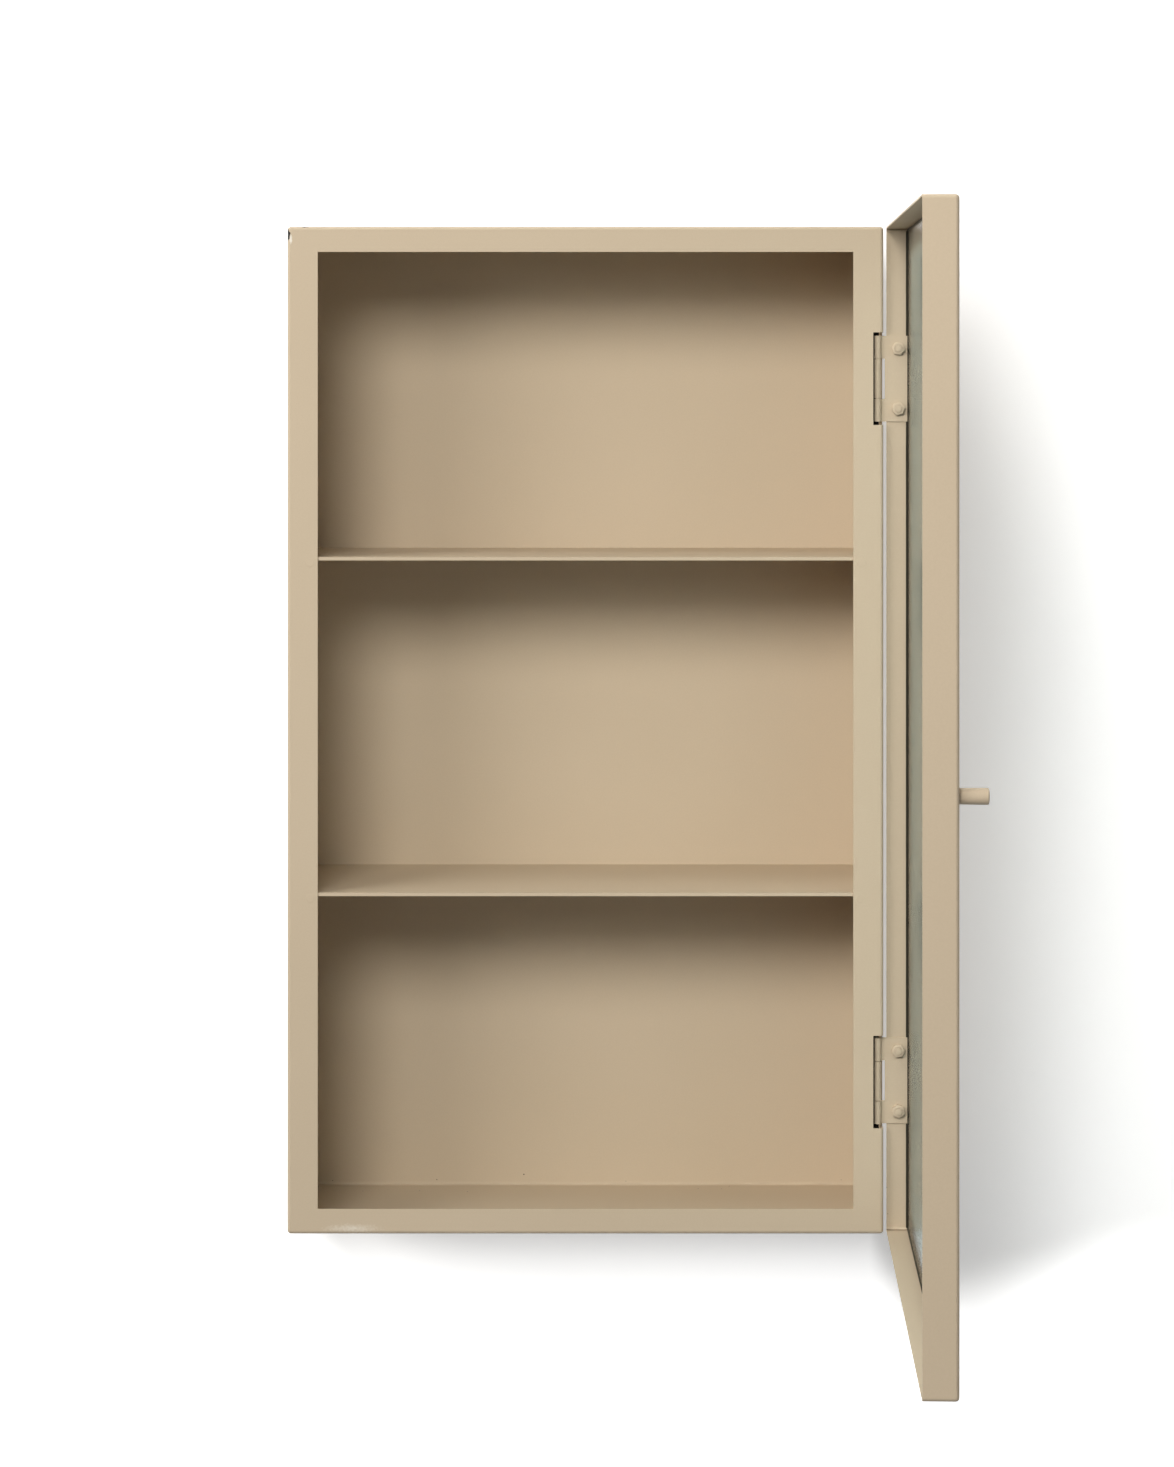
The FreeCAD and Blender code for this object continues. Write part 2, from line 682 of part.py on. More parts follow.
def build():
    """Make every piece, swing the door open and return the pieces by their labels."""
    case = case_panels() + [back_panel(), back_seams(), shelf_welds(), catch_magnet()]
    case += [shelf("upper_shelf", UPPER_SHELF), shelf("lower_shelf", LOWER_SHELF)]
    case += [wall_hanger("left_wall_hanger", "-"), wall_hanger("right_wall_hanger", "+")]
    hinges = hinge("upper", UPPER_HINGE) + hinge("lower", LOWER_HINGE)
    case_fasteners = list(hinge_fasteners("case", "+"))
    door = door_frame() + [glass_bedding(), glass_pane(), knob()] + list(hinge_fasteners("door", "-"))
    for piece in door:
        swing_open(piece)
    return case + hinges + case_fasteners + door


def write(pieces):
    """Check every object and shape, then write one file per piece."""
    doc.recompute()
    faults = [o.Name for o in doc.Objects if "Invalid" in o.State or "Error" in o.State]
    faults += [p.Label for p in pieces if p.Shape.isNull() or not p.Shape.isValid()]
    if faults:
        raise RuntimeError("failed: " + ", ".join(faults))
    os.makedirs("parts", exist_ok=True)
    for piece in pieces:
        piece.Shape.exportStep(f"parts/{piece.Label}.step")
        print(f"{piece.Label}: {len(piece.Shape.Solids)} solids, {piece.Shape.Volume:.1f} mm3")


write(build())
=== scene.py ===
"""Finish a wall cabinet of powder-coated steel with a reeded-glass door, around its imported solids.

Frame: +X right, +Y into the wall, +Z up, metres. Each finished piece keeps its place in its mesh.
"""
import json
import math

import bpy
from bpy.props import FloatProperty, FloatVectorProperty, PointerProperty
from mathutils import Matrix, Vector


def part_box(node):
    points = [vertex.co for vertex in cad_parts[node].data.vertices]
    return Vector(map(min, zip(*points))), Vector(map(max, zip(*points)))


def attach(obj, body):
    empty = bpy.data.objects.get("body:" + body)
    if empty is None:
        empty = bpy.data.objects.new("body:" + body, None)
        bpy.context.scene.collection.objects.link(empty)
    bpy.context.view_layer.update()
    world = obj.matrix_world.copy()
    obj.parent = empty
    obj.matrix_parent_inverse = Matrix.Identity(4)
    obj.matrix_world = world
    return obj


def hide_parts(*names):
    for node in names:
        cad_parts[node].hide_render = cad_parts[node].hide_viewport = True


bl_info = {
    "name": "Wall cabinet finish",
    "version": (1, 0, 0),
    "blender": (4, 5, 0),
    "location": "View3D > Sidebar > Cabinet",
    "description": "Paint, glass, weld beads and stud ends for a folded-steel wall cabinet",
    "category": "Object",
}

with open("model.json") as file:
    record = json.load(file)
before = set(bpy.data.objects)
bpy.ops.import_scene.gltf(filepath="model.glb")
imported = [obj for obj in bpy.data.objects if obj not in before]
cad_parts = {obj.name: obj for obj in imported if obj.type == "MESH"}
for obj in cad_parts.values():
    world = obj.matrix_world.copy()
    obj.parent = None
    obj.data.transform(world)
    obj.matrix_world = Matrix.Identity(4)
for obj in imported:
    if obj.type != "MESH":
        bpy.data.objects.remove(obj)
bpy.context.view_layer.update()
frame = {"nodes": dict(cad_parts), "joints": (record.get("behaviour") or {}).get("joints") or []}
NODES = frame["nodes"]
HINGE = frame["joints"][0]
MM = 0.001

CASE_PAINTED = (
    "left_side_panel",
    "right_side_panel",
    "top_panel",
    "bottom_panel",
    "back_panel",
    "upper_shelf",
    "lower_shelf",
    "upper_hinge_case_leaf",
    "lower_hinge_case_leaf",
    "upper_hinge_pin",
    "lower_hinge_pin",
)
DOOR_PAINTED = (
    "door_handle_stile",
    "door_hinge_stile",
    "door_top_rail",
    "door_bottom_rail",
    "knob",
    "upper_hinge_door_leaf",
    "lower_hinge_door_leaf",
)
HANGERS = ("left_wall_hanger", "right_wall_hanger")

# The door stands open at rest. This takes what is placed on the closed door to where it is then.
PIN = Matrix.Translation(HINGE["pos_m"])
OPENED = PIN @ Matrix.Rotation(math.radians(-HINGE["range_deg"][0]), 4, "Z") @ PIN.inverted()

SHEET = 1.0 * MM
REED_DEPTH = 0.8 * MM
WELD_RADIUS = 2.6 * MM
# Points closer than this count as one.
NEAR = 0.01 * MM

# Where the coat is rubbed pale or chipped off, the second rub also being a painted glint of bare metal:
# centre, reach, grit, amount and fade, as in worn_patch.
RUBS_AND_GLINT = (
    ((-139, -132, -551.5), (24, 4, 4), 1.4, 0.25, 1.3),
    # A scratch beside the chipped corner, painted near white, which is partly a painted highlight standing
    # in for its glint.
    ((-175.5, -131.7, 37.5), (1.3, 2, 4.5), 1.0, 0.2, 0.3),
)
CHIPS = (
    ((-177, -130.5, 40), (3.2, 3, 6), 2.5, 0.12, 0.08),
    ((-167.3, -130.5, 45), (3.5, 2, 1.2), 1.6, 0.1, 0.08),
)
# Where the seams are pitted: lowest and highest corners, cell, size and share, as in seam_specks.
PITS = (
    ((-174, -26, -556), (174, -2, -545), 5.0, 0.5, 0.3),
    ((-174, -8, -556), (174, -2, -500), 16.0, 0.7, 0.25),
    ((179, -128, -551), (194, -123, -528), 2.6, 0.33, 0.6),
)

# Sockets of a Mix node that mixes colours.
FACTOR, FIRST, SECOND, MIXED = 0, 6, 7, 2


def srgb(code):
    """Linear red, green, blue and full alpha from an sRGB hex code."""
    parts = [int(code[i : i + 2], 16) / 255 for i in (1, 3, 5)]
    linear = [p / 12.92 if p <= 0.04045 else ((p + 0.055) / 1.055) ** 2.4 for p in parts]
    return (*linear, 1.0)


def per_mm(size):
    """The texture scale whose features are that many millimetres across."""
    return 1 / (size * MM)


class CabinetPaint(bpy.types.PropertyGroup):
    """Colours of the powder coat, the bare metal, the painted shade in the hinge pockets and the glass."""

    coat: FloatVectorProperty(
        name="Coat",
        description="Main shade of the powder coat",
        subtype="COLOR",
        size=4,
        min=0,
        max=1,
        default=srgb("#ccbba3"),
    )
    coat_shade: FloatVectorProperty(
        name="Coat shade",
        description="Darker grains and drifts in the powder coat",
        subtype="COLOR",
        size=4,
        min=0,
        max=1,
        default=srgb("#c4b39a"),
    )
    # Also the near-black of the hinge pockets, there as painted shade for the dark behind the knuckles.
    chip_and_pocket_shade: FloatVectorProperty(
        name="Chip",
        description="Dark steel and dirt where the coat is knocked off",
        subtype="COLOR",
        size=4,
        min=0,
        max=1,
        default=srgb("#120d08"),
    )
    # Also paints the near-white scratch beside the chipped corner, partly a painted glint.
    scuff_and_glint: FloatVectorProperty(
        name="Scuff",
        description="Pale rubs on the lower front edge and beside the chipped corner",
        subtype="COLOR",
        size=4,
        min=0,
        max=1,
        default=srgb("#ece5d8"),
    )
    glass: FloatVectorProperty(
        name="Glass",
        description="Tint of the soda-lime pane",
        subtype="COLOR",
        size=4,
        min=0,
        max=1,
        default=srgb("#f3f6f4"),
    )


class CabinetDetails(bpy.types.PropertyGroup):
    """Sizes of the small pieces that the solids leave plain."""

    bead_leg: FloatProperty(
        name="Bead leg",
        description="Height and depth of the filled seams at the back panel's top and bottom",
        unit="LENGTH",
        default=1.5 * MM,
    )
    bead_wave: FloatProperty(
        name="Bead wave",
        description="How far the hand-filled bead wanders",
        unit="LENGTH",
        default=0.3 * MM,
    )
    weld_leg: FloatProperty(
        name="Weld leg",
        description="Height and depth of the welds in the door's inner corners",
        unit="LENGTH",
        default=1.3 * MM,
    )
    seal_reach: FloatProperty(
        name="Seal reach",
        description="How far the silicone joint runs onto the pane",
        unit="LENGTH",
        default=3.0 * MM,
    )
    seal_rise: FloatProperty(
        name="Seal rise",
        description="How far the silicone joint climbs the frame, from the valleys of the reeds",
        unit="LENGTH",
        default=2.0 * MM,
    )
    pocket_sheet: FloatProperty(
        name="Pocket sheet",
        description="Thickness of the folded sheet behind the hinge knuckles",
        unit="LENGTH",
        default=0.6 * MM,
    )
    stud_spacing: FloatProperty(
        name="Stud spacing",
        description="Distance between the two studs of a hinge leaf",
        unit="LENGTH",
        default=36 * MM,
    )
    stud_radius: FloatProperty(
        name="Stud radius",
        description="Radius of the weld studs",
        unit="LENGTH",
        default=2 * MM,
    )


class CabinetStage(bpy.types.PropertyGroup):
    """The wall, the light and the camera."""

    wall: FloatVectorProperty(
        name="Wall",
        description="Colour of the wall",
        subtype="COLOR",
        size=4,
        min=0,
        max=1,
        default=srgb("#f4f4f4"),
    )
    lamp: FloatVectorProperty(
        name="Lamp",
        description="Colour of the lamps, a slightly warm white",
        subtype="COLOR",
        size=4,
        min=0,
        max=1,
        default=srgb("#fffdf9"),
    )
    front_power: FloatProperty(
        name="Front power",
        description="Power of the main soft lamp, a little left of the camera and above it",
        unit="POWER",
        default=41.0,
    )
    left_power: FloatProperty(
        name="Left power",
        description="Power of the low soft lamp at the left",
        unit="POWER",
        default=30.0,
    )
    high_power: FloatProperty(
        name="High power",
        description="Power of the soft lamp high at the left",
        unit="POWER",
        default=49.0,
    )
    rear_power: FloatProperty(
        name="Rear power",
        description="Power of the lamp behind the wall, for views of the right side and the back",
        unit="POWER",
        default=150.0,
    )
    ambient: FloatProperty(
        name="Ambient",
        description="Strength of the even light from all sides",
        default=0.03,
    )
    camera_distance: FloatProperty(
        name="Camera distance",
        description="From the wall to the camera",
        unit="LENGTH",
        default=2.219,
    )


def add_node(tree, kind, inputs=None, **settings):
    """Add a node, give it its settings, and fill its sockets with links or values."""
    node = tree.nodes.new(kind)
    for name, value in settings.items():
        setattr(node, name, value)
    for socket, value in (inputs or {}).items():
        if isinstance(value, bpy.types.NodeSocket):
            tree.links.new(value, node.inputs[socket])
        else:
            node.inputs[socket].default_value = value
    return node


def new_material(name):
    """A material with one Principled shader on its output, and the Object coordinates."""
    material = bpy.data.materials.new(name)
    material.use_nodes = True
    tree = material.node_tree
    shader = tree.nodes["Principled BSDF"]
    place = add_node(tree, "ShaderNodeTexCoord").outputs["Object"]
    return material, tree, shader, place


def looked_at(tree):
    """1 for rays of the camera, of gloss and of glass, and 0 for those that only gather light."""
    path = add_node(tree, "ShaderNodeLightPath").outputs
    seen = path["Is Camera Ray"]
    for name in ("Is Glossy Ray", "Is Transmission Ray"):
        seen = add_node(tree, "ShaderNodeMath", {0: seen, 1: path[name]}, operation="MAXIMUM").outputs[0]
    return seen


def worn_patch(tree, place, centre, reach, grit, amount, fade):
    """A ragged patch: noise that passes its threshold only near a point, all in millimetres.

    The more it fades, the softer its rim, and from 1 up it never quite covers the coat.
    """
    spread = [1 / (r * MM) for r in reach]
    offset = add_node(
        tree, "ShaderNodeVectorMath", {0: place, 1: [c * MM for c in centre]}, operation="SUBTRACT"
    ).outputs[0]
    scaled = add_node(tree, "ShaderNodeVectorMath", {0: offset, 1: spread}, operation="MULTIPLY").outputs[0]
    away = add_node(tree, "ShaderNodeVectorMath", {0: scaled}, operation="LENGTH").outputs["Value"]
    noise = add_node(tree, "ShaderNodeTexNoise", {"Vector": place, "Scale": per_mm(grit), "Detail": 3.0})
    lift = add_node(tree, "ShaderNodeMath", {0: noise.outputs["Fac"], 1: amount}, operation="ADD").outputs[0]
    left = add_node(tree, "ShaderNodeMath", {0: lift, 1: away}, operation="SUBTRACT").outputs[0]
    return add_node(
        tree, "ShaderNodeMapRange", {"Value": left, "From Min": 0.0, "From Max": fade}
    ).outputs["Result"]


def seam_specks(tree, place, low, high, cell, size, share):
    """Small dark pits, one in some cells of a fine grid, inside a box given in millimetres."""
    cells = add_node(tree, "ShaderNodeTexVoronoi", {"Vector": place, "Scale": per_mm(cell)})
    near = add_node(
        tree,
        "ShaderNodeMapRange",
        {"Value": cells.outputs["Distance"], "From Min": size / cell, "From Max": 0.6 * size / cell},
    ).outputs["Result"]
    pick = add_node(tree, "ShaderNodeSeparateColor", {0: cells.outputs["Color"]}).outputs[0]
    chosen = add_node(tree, "ShaderNodeMath", {0: pick, 1: share}, operation="LESS_THAN").outputs[0]
    mask = add_node(tree, "ShaderNodeMath", {0: near, 1: chosen}, operation="MULTIPLY").outputs[0]
    axes = add_node(tree, "ShaderNodeSeparateXYZ", {0: place}).outputs
    for axis, (least, most) in zip(axes, zip(low, high)):
        middle, half = (least + most) / 2 * MM, (most - least) / 2 * MM
        inside = add_node(
            tree, "ShaderNodeMath", {0: axis, 1: middle, 2: half}, operation="COMPARE"
        ).outputs[0]
        mask = add_node(tree, "ShaderNodeMath", {0: mask, 1: inside}, operation="MULTIPLY").outputs[0]
    return mask


def powder_coat(paint):
    """Powder coat baked on folded steel: a satin film with a fine orange peel, chipped at one corner."""
    material, tree, shader, place = new_material("powder_coated_steel")
    # The coat flows out in shallow waves about 1.5 mm across, which catch the light as a fine grain.
    peel = add_node(
        tree, "ShaderNodeTexNoise", {"Vector": place, "Scale": per_mm(1.5), "Detail": 2.0}
    ).outputs["Fac"]
    # Grains of the powder differ a little in shade. They are 0.1 mm, drawn at 1 mm so that they show.
    grain = add_node(
        tree, "ShaderNodeTexNoise", {"Vector": place, "Scale": per_mm(1.0), "Detail": 1.0}
    ).outputs["Fac"]
    # The film's thickness drifts slowly over a panel, about 120 mm from thick to thin.
    drift = add_node(
        tree, "ShaderNodeTexNoise", {"Vector": place, "Scale": per_mm(120), "Detail": 2.0}
    ).outputs["Fac"]
    # Grain and drift together choose between the two shades.
    shade = add_node(
        tree, "ShaderNodeMath", {0: grain, 1: 0.7, 2: -0.1}, operation="MULTIPLY_ADD"
    ).outputs[0]
    shade = add_node(
        tree, "ShaderNodeMath", {0: drift, 1: 0.5, 2: shade}, operation="MULTIPLY_ADD"
    ).outputs[0]
    tones = {FACTOR: shade, FIRST: tuple(paint.coat), SECOND: tuple(paint.coat_shade)}
    colour = add_node(tree, "ShaderNodeMix", tones, data_type="RGBA").outputs[MIXED]
    # The rubs include the near-white scratch by the chipped corner, partly a painted glint.
    rubs = [worn_patch(tree, place, *spot) for spot in RUBS_AND_GLINT]
    chips = [worn_patch(tree, place, *spot) for spot in CHIPS]
    pits = [seam_specks(tree, place, *spot) for spot in PITS]
    for masks, shown in ((rubs, paint.scuff_and_glint), (chips + pits, paint.chip_and_pocket_shade)):
        for mask in masks:
            layers = {FACTOR: mask, FIRST: colour, SECOND: tuple(shown)}
            colour = add_node(tree, "ShaderNodeMix", layers, data_type="RGBA").outputs[MIXED]
    tree.links.new(colour, shader.inputs["Base Color"])
    # The gloss drifts with the film.
    span = {"Value": drift, "From Min": 0.3, "From Max": 0.7, "To Min": 0.46, "To Max": 0.56}
    roughness = add_node(tree, "ShaderNodeMapRange", span).outputs["Result"]
    tree.links.new(roughness, shader.inputs["Roughness"])
    bump = add_node(tree, "ShaderNodeBump", {"Height": peel, "Strength": 0.35, "Distance": 0.06 * MM})
    tree.links.new(bump.outputs[0], shader.inputs["Normal"])
    return material


def pocket_shade_coat(paint):
    """Rolled steel deep in a pocket, coloured near-black as painted shade for the dark behind the knuckles,
    with a dusting of the coat.
    """
    material, tree, shader, place = new_material("painted_pocket_shade")
    # The dusting gathers in clouds about 3 mm across.
    dust = add_node(
        tree, "ShaderNodeTexNoise", {"Vector": place, "Scale": per_mm(3), "Detail": 3.0}
    ).outputs["Fac"]
    share = add_node(
        tree, "ShaderNodeMapRange", {"Value": dust, "From Min": 0.5, "From Max": 0.9, "To Max": 0.35}
    ).outputs["Result"]
    # Painted shade: the mix of near-black and coat stands for the dark in the pocket.
    tones = {FACTOR: share, FIRST: tuple(paint.chip_and_pocket_shade), SECOND: tuple(paint.coat_shade)}
    colour = add_node(tree, "ShaderNodeMix", tones, data_type="RGBA").outputs[MIXED]
    tree.links.new(colour, shader.inputs["Base Color"])
    shader.inputs["Roughness"].default_value = 0.7
    bump = add_node(tree, "ShaderNodeBump", {"Height": dust, "Strength": 0.3, "Distance": 0.08 * MM})
    tree.links.new(bump.outputs[0], shader.inputs["Normal"])
    return material


def reeded_glass(paint):
    """Soda-lime glass rolled with reeds: clear, faintly green along the pane, with a slight wave."""
    material, tree, shader, place = new_material("rolled_soda_lime_glass")
    shader.inputs["Base Color"].default_value = tuple(paint.glass)
    shader.inputs["Transmission Weight"].default_value = 1.0
    shader.inputs["IOR"].default_value = 1.52
    # The roller leaves the fire-finished face uneven over about 8 mm.
    wave = add_node(
        tree, "ShaderNodeTexNoise", {"Vector": place, "Scale": per_mm(8), "Detail": 1.0}
    ).outputs["Fac"]
    roughness = add_node(
        tree, "ShaderNodeMapRange", {"Value": wave, "To Min": 0.18, "To Max": 0.26}
    ).outputs["Result"]
    tree.links.new(roughness, shader.inputs["Roughness"])
    bump = add_node(tree, "ShaderNodeBump", {"Height": wave, "Strength": 0.08, "Distance": 0.05 * MM})
    tree.links.new(bump.outputs[0], shader.inputs["Normal"])
    # Iron in the glass takes red and blue first, which shows most along the pane: 69, 52 and 55 per metre.
    body = add_node(tree, "ShaderNodeVolumeAbsorption", {"Color": (0.31, 0.48, 0.45, 1.0), "Density": 100.0})
    tree.links.new(body.outputs[0], tree.nodes["Material Output"].inputs["Volume"])
    # Lamps reach what is behind the pane, less and less as they graze it.
    path = add_node(tree, "ShaderNodeLightPath")
    graze = add_node(tree, "ShaderNodeLayerWeight", {"Blend": 0.5}).outputs["Facing"]
    tints = {FACTOR: graze, FIRST: srgb("#eef1ef"), SECOND: srgb("#000000")}
    passed = add_node(tree, "ShaderNodeMix", tints, data_type="RGBA").outputs[MIXED]
    clear = add_node(tree, "ShaderNodeBsdfTransparent", {"Color": passed})
    both = add_node(
        tree,
        "ShaderNodeMixShader",
        {0: path.outputs["Is Shadow Ray"], 1: shader.outputs[0], 2: clear.outputs[0]},
    )
    tree.links.new(both.outputs[0], tree.nodes["Material Output"].inputs["Surface"])
    return material


def glazing_silicone():
    """Dark glazing silicone under and round the pane: rubbery, with a soft gloss and slow ripples."""
    found = bpy.data.materials.get("glazing_silicone")
    if found:
        return found
    material, tree, shader, place = new_material("glazing_silicone")
    # It is drawn off by hand, which leaves ripples about 4 mm long.
    ripple = add_node(
        tree, "ShaderNodeTexNoise", {"Vector": place, "Scale": per_mm(4), "Detail": 2.0}
    ).outputs["Fac"]
    tones = {FACTOR: ripple, FIRST: srgb("#1b1811"), SECOND: srgb("#2b271e")}
    colour = add_node(tree, "ShaderNodeMix", tones, data_type="RGBA").outputs[MIXED]
    tree.links.new(colour, shader.inputs["Base Color"])
    shader.inputs["Roughness"].default_value = 0.55
    shader.inputs["Specular IOR Level"].default_value = 0.3
    bump = add_node(tree, "ShaderNodeBump", {"Height": ripple, "Strength": 0.4, "Distance": 0.15 * MM})
    tree.links.new(bump.outputs[0], shader.inputs["Normal"])
    return material


def plated_metal(name, bright, dull, patch, smooth, rough):
    """Plated steel: a metal whose crystals, patch millimetres across, differ in shade and gloss."""
    material, tree, shader, place = new_material(name)
    crystals = add_node(tree, "ShaderNodeTexVoronoi", {"Vector": place, "Scale": per_mm(patch)})
    tone = add_node(tree, "ShaderNodeSeparateColor", {0: crystals.outputs["Color"]}).outputs[0]
    tones = {FACTOR: tone, FIRST: bright, SECOND: dull}
    colour = add_node(tree, "ShaderNodeMix", tones, data_type="RGBA").outputs[MIXED]
    tree.links.new(colour, shader.inputs["Base Color"])
    gloss = add_node(
        tree, "ShaderNodeMapRange", {"Value": tone, "To Min": smooth, "To Max": rough}
    ).outputs["Result"]
    tree.links.new(gloss, shader.inputs["Roughness"])
    shader.inputs["Metallic"].default_value = 1.0
    scratch = add_node(
        tree, "ShaderNodeTexNoise", {"Vector": place, "Scale": per_mm(0.6), "Detail": 2.0}
    ).outputs["Fac"]
    bump = add_node(tree, "ShaderNodeBump", {"Height": scratch, "Strength": 0.2, "Distance": 0.03 * MM})
    tree.links.new(bump.outputs[0], shader.inputs["Normal"])
    return material


def shared_coat(context):
    """The powder coat, made once for every piece that went through the oven."""
    found = bpy.data.materials.get("powder_coated_steel")
    return found or powder_coat(context.scene.cabinet_paint)


def dress(names, material):
    """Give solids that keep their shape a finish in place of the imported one."""
    for name in names:
        slots = NODES[name].data.materials
        slots.clear()
        slots.append(material)


def start_piece():
    """Leave edit mode and select nothing."""
    if bpy.context.object and bpy.context.object.mode != "OBJECT":
        bpy.ops.object.mode_set(mode="OBJECT")
    bpy.ops.object.select_all(action="DESELECT")


def select_where(piece, kind, wanted):
    """Go to edit mode with only the faces or edges selected that the test accepts."""
    bpy.ops.object.mode_set(mode="EDIT")
    bpy.ops.mesh.select_mode(type=kind)
    bpy.ops.mesh.select_all(action="DESELECT")
    bpy.ops.object.mode_set(mode="OBJECT")
    parts = piece.data.polygons if kind == "FACE" else piece.data.edges
    for part in parts:
        part.select = wanted(part)
    bpy.ops.object.mode_set(mode="EDIT")


def edge_ends(piece, edge):
    """Where the two ends of an edge lie."""
    return [piece.data.vertices[i].co for i in edge.vertices]


def runs_along_x(piece, edge, least):
    """Whether an edge reaches further than that along X."""
    first, last = edge_ends(piece, edge)
    return abs(first.x - last.x) > least


def settle(piece):
    """Put a piece's place into its mesh, so that its object sits at the origin."""
    bpy.ops.object.mode_set(mode="OBJECT")
    bpy.ops.object.transform_apply(location=True, rotation=True, scale=True)
    return piece


def copy_piece(piece, shift):
    """A copy with its own mesh, moved in its mesh."""
    twin = piece.copy()
    twin.data = piece.data.copy()
    twin.data.transform(shift)
    bpy.context.scene.collection.objects.link(twin)
    return twin


def join_pieces(name, pieces):
    """Join pieces into one, named, and smooth it where it bends by less than 40 degrees."""
    start_piece()
    for piece in pieces:
        piece.select_set(True)
    bpy.context.view_layer.objects.active = pieces[0]
    if len(pieces) > 1:
        bpy.ops.object.join()
    joined = pieces[0]
    joined.name = joined.data.name = name
    bpy.ops.object.shade_smooth_by_angle(angle=math.radians(40))
    return joined


def fit_piece(piece, material, body, slot, *nodes):
    """Finish a new piece: its material, the body it rides on and the solids it stands for, if any."""
    piece.data.materials.clear()
    piece.data.materials.append(material)
    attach(piece, body)
    if nodes:
        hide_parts(*nodes)


def closed_box(name):
    """The lowest and highest corners of a piece of the door, with the door closed."""
    shut = OPENED.inverted()
    points = [shut @ v.co for v in NODES[name].data.vertices]
    return tuple(Vector(pick(p[axis] for p in points) for axis in range(3)) for pick in (min, max))


def corner_bead(length, legs, wave, spot, reach, rise):
    """A filled inside corner: a strip whose open face is hollowed and a little uneven.

    Its first leg lies along reach and its second along rise, from the spot at the middle of the corner.
    """
    start_piece()
    bpy.ops.mesh.primitive_cube_add(size=1, location=(0, -0.5, 0.5))
    bead = settle(bpy.context.object)
    # The free edge of the unit strip is cut back nearly to the ends of both legs, in a hollow curve.
    select_where(
        bead, "EDGE", lambda edge: all(end.y < -0.9 and end.z > 0.9 for end in edge_ends(bead, edge))
    )
    bpy.ops.mesh.bevel(offset=0.92, segments=6, profile=0.1)
    bpy.ops.object.mode_set(mode="OBJECT")
    bead.scale = (length, *legs)
    settle(bead)
    select_where(bead, "EDGE", lambda edge: runs_along_x(bead, edge, length / 2))
    step = 2.5 * MM
    bpy.ops.mesh.subdivide(number_cuts=max(4, round(length / step)))
    bpy.ops.object.mode_set(mode="OBJECT")
    hollow = bead.vertex_groups.new(name="hollow")
    # Both legs and both ends stay flat.
    flat, most = 0.02, 0.498 * length
    open_face = [
        v.index
        for v in bead.data.vertices
        if v.co.y < -flat * legs[0] and v.co.z > flat * legs[1] and abs(v.co.x) < most
    ]
    hollow.add(open_face, 1.0, "REPLACE")
    cloud = bpy.data.textures.new("bead_wave", "CLOUDS")
    cloud.noise_scale = 5 * MM
    uneven = bead.modifiers.new("uneven", "DISPLACE")
    uneven.texture = cloud
    uneven.texture_coords = "LOCAL"
    uneven.strength = wave
    uneven.vertex_group = "hollow"
    bpy.ops.object.modifier_apply(modifier=uneven.name)
    bead.vertex_groups.clear()
    reach, rise = Vector(reach), Vector(rise)
    turn = Matrix((rise.cross(reach), -reach, rise)).transposed().to_4x4()
    bead.data.transform(Matrix.Translation(spot) @ turn)
    return bead


def weld_mark():
    """One plug weld: a low disc with a rolled rim and a slightly sunk, dressed middle."""
    low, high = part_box("shelf_plug_welds")
    depth = high.y - low.y
    rim, ring, sink, dome = 0.35 * MM, 0.7 * MM, 0.08 * MM, 0.05 * MM
    slope, spread = 0.16 * MM, 1.12
    start_piece()
    bpy.ops.mesh.primitive_cylinder_add(
        vertices=48, radius=WELD_RADIUS, depth=depth, rotation=(math.pi / 2, 0, 0)
    )
    mark = settle(bpy.context.object)
    select_where(mark, "FACE", lambda face: face.normal.y < -0.9)
    bpy.ops.mesh.inset(thickness=rim)
    for move in (sink, -dome):
        bpy.ops.mesh.inset(thickness=ring)
        bpy.ops.transform.translate(value=(0, move, 0))
    bpy.ops.object.mode_set(mode="OBJECT")
    # Painted over, the rim spreads beyond the hole and slopes down into the sheet.
    select_where(
        mark,
        "EDGE",
        lambda edge: all(
            abs(end.y + depth / 2) < NEAR and math.hypot(end.x, end.z) > 0.98 * WELD_RADIUS
            for end in edge_ends(mark, edge)
        ),
    )
    bpy.ops.transform.translate(value=(0, slope, 0))
    bpy.ops.transform.resize(value=(spread, 1, spread))
    bpy.ops.object.mode_set(mode="OBJECT")
    return mark


def stud(radius, length):
    """One weld stud along -X from the origin, with a thread groove by its chamfered, domed end."""
    groove, waist, lip = 0.12 * MM, 0.86, 0.1 * MM
    chamfer, dome = 0.1 * MM, 0.06 * MM
    start_piece()
    bpy.ops.mesh.primitive_cylinder_add(
        vertices=40, radius=radius, depth=length, location=(-length / 2, 0, 0), rotation=(0, -math.pi / 2, 0)
    )
    piece = settle(bpy.context.object)
    # The end goes back by all that is drawn out of it, so the stud keeps its length.
    select_where(piece, "FACE", lambda face: face.normal.x < -0.9)
    bpy.ops.transform.translate(value=(2 * groove + lip + chamfer + dome, 0, 0))
    for scale in (waist, 1 / waist):
        bpy.ops.mesh.extrude_region_move(TRANSFORM_OT_translate={"value": (-groove, 0, 0)})
        bpy.ops.transform.resize(value=(1, scale, scale))
    bpy.ops.mesh.extrude_region_move(TRANSFORM_OT_translate={"value": (-lip, 0, 0)})
    for share, rise in ((0.25, chamfer), (0.35, dome)):
        bpy.ops.mesh.inset(thickness=share * radius)
        bpy.ops.transform.translate(value=(-rise, 0, 0))
    bpy.ops.object.mode_set(mode="OBJECT")
    return piece


def cut_by(piece, tool, operation):
    """Apply a boolean with another shape, and take that shape away."""
    cut = piece.modifiers.new("cut", "BOOLEAN")
    cut.object = tool
    cut.operation = operation
    cut.solver = "EXACT"
    bpy.context.view_layer.objects.active = piece
    bpy.ops.object.modifier_apply(modifier=cut.name)
    bpy.data.objects.remove(tool)


